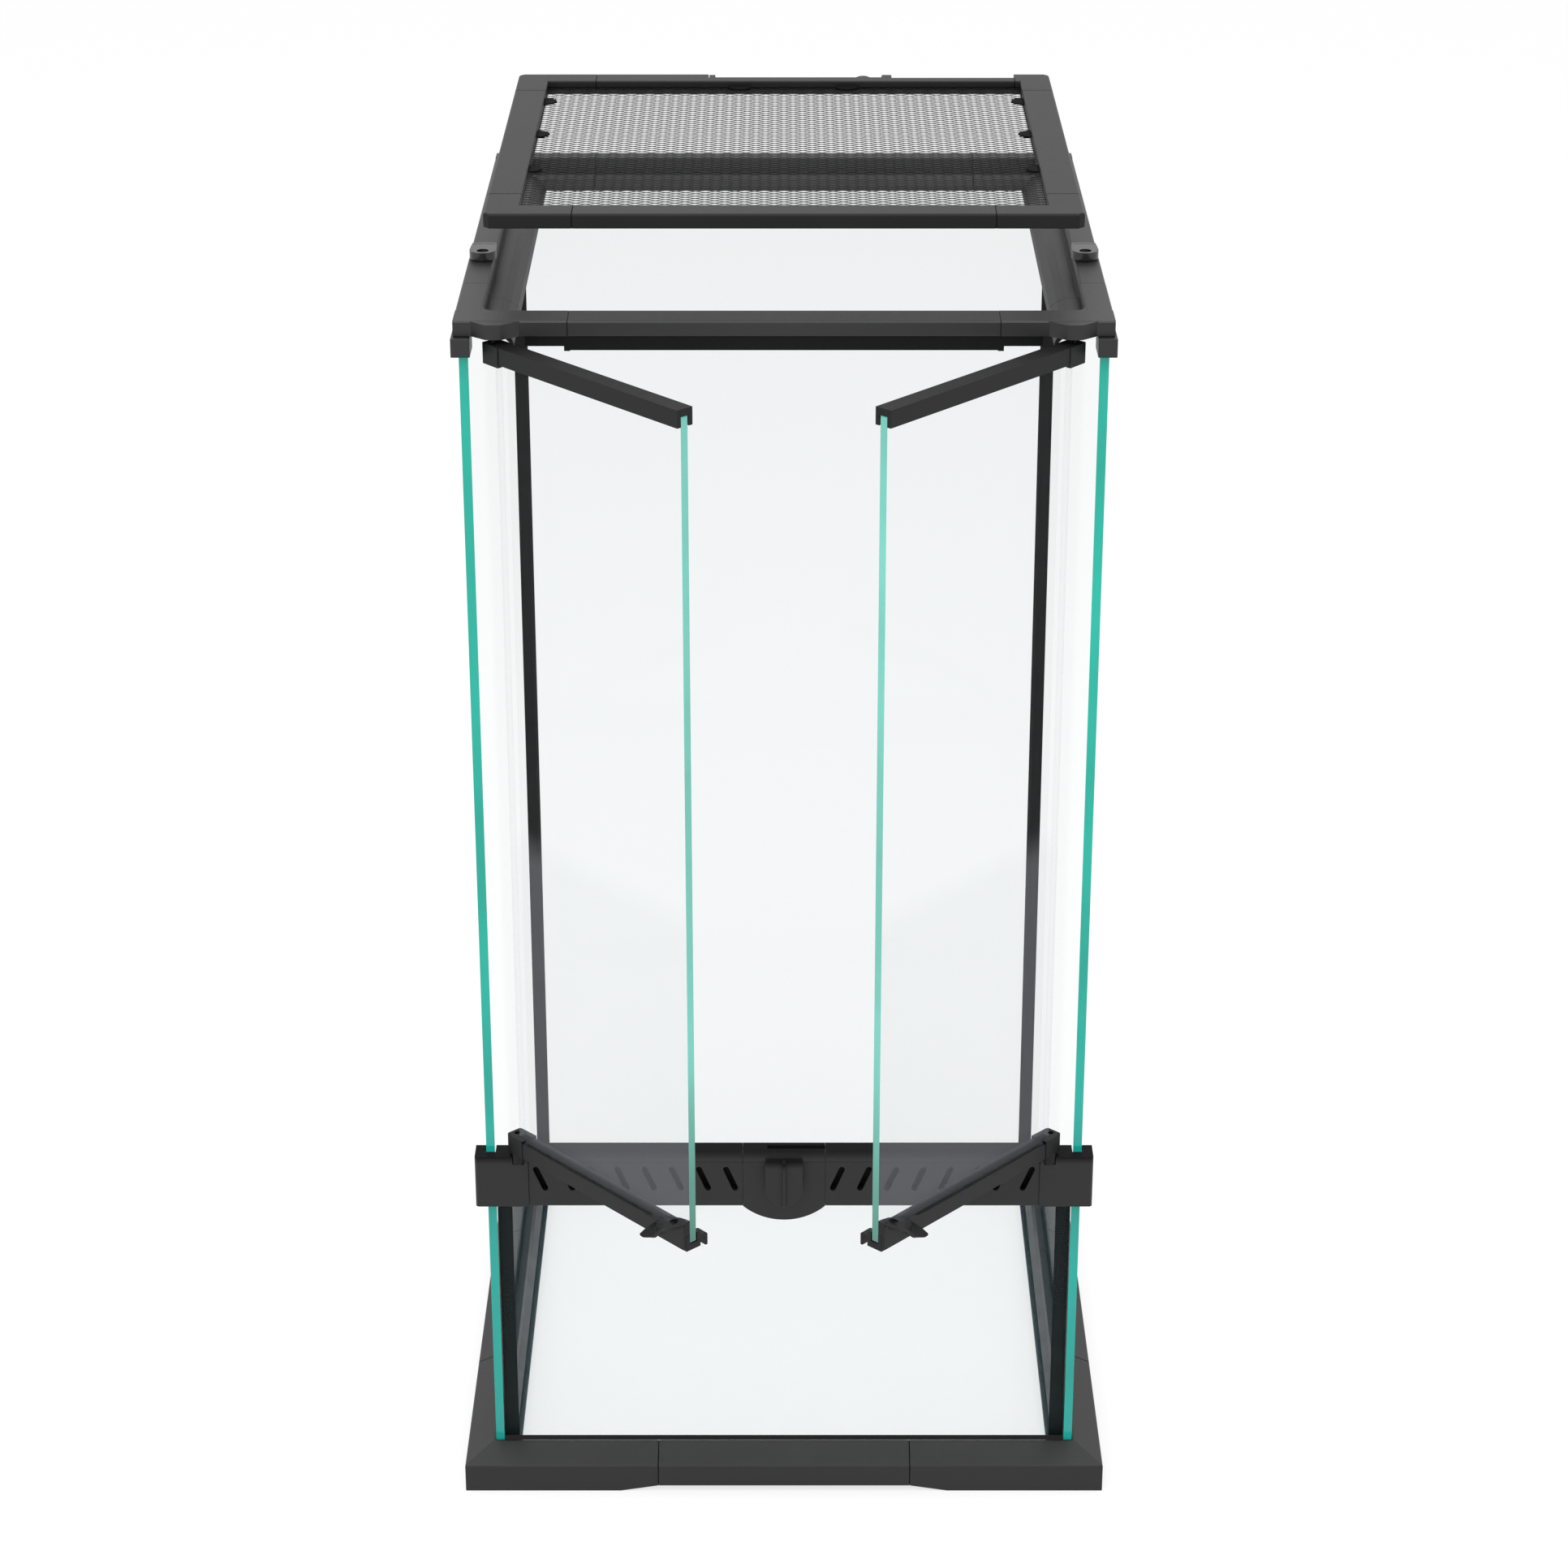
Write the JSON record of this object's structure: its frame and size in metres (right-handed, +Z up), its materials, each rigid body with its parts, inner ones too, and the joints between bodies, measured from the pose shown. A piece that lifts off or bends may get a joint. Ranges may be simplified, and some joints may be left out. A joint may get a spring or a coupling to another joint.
{
  "type": "terrarium",
  "caption": "Tall glass terrarium with hinged front doors, a ventilated front bar with a turn lock, a dark plastic base and top frame and a lift-off screen cover.",
  "frame": {"origin": "centre of the rest pose's bounding box at floor level, the plane of the feet; the doors stand open at rest, so the tank's own centre line is 64 mm towards +Y", "axes": "+Z up along the tank's height, -Y towards the viewer on the doors' side, +X to the viewer's right"},
  "size_m": [0.476, 0.604, 0.968],
  "materials": {
    "base_plastic": "satin moulded",
    "top_plastic": "satin moulded",
    "cover_plastic": "satin moulded",
    "latch_plastic": "half gloss",
    "door_plastic": "satin moulded",
    "vent_plastic": "fine grain",
    "lock_plastic": "satin moulded",
    "seal": "smooth, glossy",
    "side_glass": "clear with polished blue-green edges",
    "door_glass": "clear with polished green edges",
    "pane_glass": "clear",
    "wire_mesh": "black coated"
  },
  "bodies": {
    "tank": {"base_bar_front": "base_plastic", "base_bar_left": "base_plastic", "base_bar_rear": "base_plastic", "base_bar_right": "base_plastic", "base_corner_front_left": "base_plastic", "base_corner_front_right": "base_plastic", "base_corner_rear_left": "base_plastic", "base_corner_rear_right": "base_plastic", "door_stop": "top_plastic", "floor_glass": "pane_glass", "floor_seal": "seal", "front_lower_glass": "pane_glass", "front_strip_left": "seal", "front_strip_right": "seal", "glass_cap_left": "top_plastic", "glass_cap_right": "top_plastic", "lock_housing": "lock_plastic", "rear_glass": "pane_glass", "rear_strip_left": "seal", "rear_strip_right": "seal", "side_glass_left": "side_glass", "side_glass_right": "side_glass", "top_bar_front": "top_plastic", "top_bar_left": "top_plastic", "top_bar_rear": "top_plastic", "top_bar_right": "top_plastic", "top_corner_front_left": "top_plastic", "top_corner_front_right": "top_plastic", "top_corner_rear_left": "top_plastic", "top_corner_rear_right": "top_plastic", "vent_bar_left": "vent_plastic", "vent_bar_right": "vent_plastic", "vent_end_left": "vent_plastic", "vent_end_right": "vent_plastic"},
    "door_left": {"door_left_glass": "door_glass", "door_left_lower_channel": "door_plastic", "door_left_lower_pin": "door_plastic", "door_left_pull": "door_plastic", "door_left_upper_channel": "door_plastic", "door_left_upper_pin": "door_plastic"},
    "door_right": {"door_right_glass": "door_glass", "door_right_lower_channel": "door_plastic", "door_right_lower_pin": "door_plastic", "door_right_pull": "door_plastic", "door_right_upper_channel": "door_plastic", "door_right_upper_pin": "door_plastic"},
    "lock": {"lock_knob": "lock_plastic", "lock_cam": "lock_plastic"},
    "cover": {"cover_bar_front": "cover_plastic", "cover_bar_left": "cover_plastic", "cover_bar_rear": "cover_plastic", "cover_bar_right": "cover_plastic", "cover_corner_front_left": "cover_plastic", "cover_corner_front_right": "cover_plastic", "cover_corner_rear_left": "cover_plastic", "cover_corner_rear_right": "cover_plastic", "cover_mesh": "wire_mesh"},
    "inlet_slide": {"inlet_slide": "cover_plastic"},
    "latch_left": {"cover_latch_left": "latch_plastic"},
    "latch_right": {"cover_latch_right": "latch_plastic"}
  },
  "joints": [
    {"name": "door_left_hinge", "type": "hinge", "parent": "tank", "child": "door_left", "pos_m": [-0.1925, -0.15502, 0.58], "axis": [0, 0, -1], "range_deg": [-47.2, 72.8]},
    {"name": "door_right_hinge", "type": "hinge", "parent": "tank", "child": "door_right", "pos_m": [0.1925, -0.15502, 0.58], "axis": [0, 0, 1], "range_deg": [-47.2, 72.8]},
    {"name": "lock_turn", "type": "hinge", "parent": "tank", "child": "lock", "pos_m": [0, -0.15502, 0.2588], "axis": [0, -1, 0], "range_deg": [0, 90]},
    {"name": "cover_lift", "type": "slide", "parent": "tank", "child": "cover", "axis": [0, 0, 1], "range_m": [-0.0655, 0.04]},
    {"name": "inlet_slide_run", "type": "slide", "parent": "cover", "child": "inlet_slide", "axis": [1, 0, 0], "range_m": [0, 0.091]},
    {"name": "latch_left_turn", "type": "hinge", "parent": "tank", "child": "latch_left", "pos_m": [-0.205, 0.00498, 0.9], "axis": [0, 0, 1], "range_deg": [0, 90]},
    {"name": "latch_right_turn", "type": "hinge", "parent": "tank", "child": "latch_right", "pos_m": [0.205, 0.00498, 0.9], "axis": [0, 0, -1], "range_deg": [0, 90]}
  ]
}
